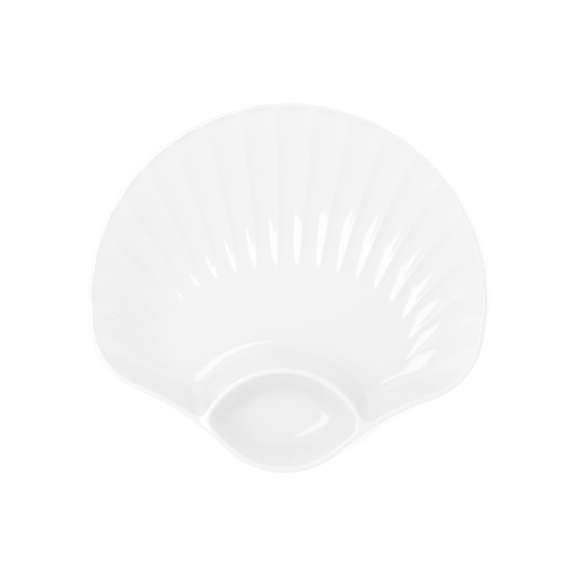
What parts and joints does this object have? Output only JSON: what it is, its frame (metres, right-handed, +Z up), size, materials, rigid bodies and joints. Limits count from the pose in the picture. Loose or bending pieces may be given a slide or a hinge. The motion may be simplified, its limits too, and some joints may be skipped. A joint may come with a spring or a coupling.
{
  "type": "shell shaped platter",
  "caption": "Scallop-fan serving platter with a fluted main well and a curved divider that closes off a small oval sauce bowl in its tail, on low foot rings.",
  "frame": {"origin": "under the middle of the outline's box, in the plane that the foot rings stand on", "axes": "+Z up out of the wells, +Y from the sauce bowl towards the middle of the fan, +X along the widest measure; the body is symmetric about the plane x = 0"},
  "size_m": [0.2804, 0.2598, 0.0335],
  "materials": {
    "glazed_porcelain": "glossy white glaze all over, with a fine smooth surface"
  },
  "bodies": {
    "root": {"shell_platter": "glazed_porcelain"}
  },
  "joints": []
}
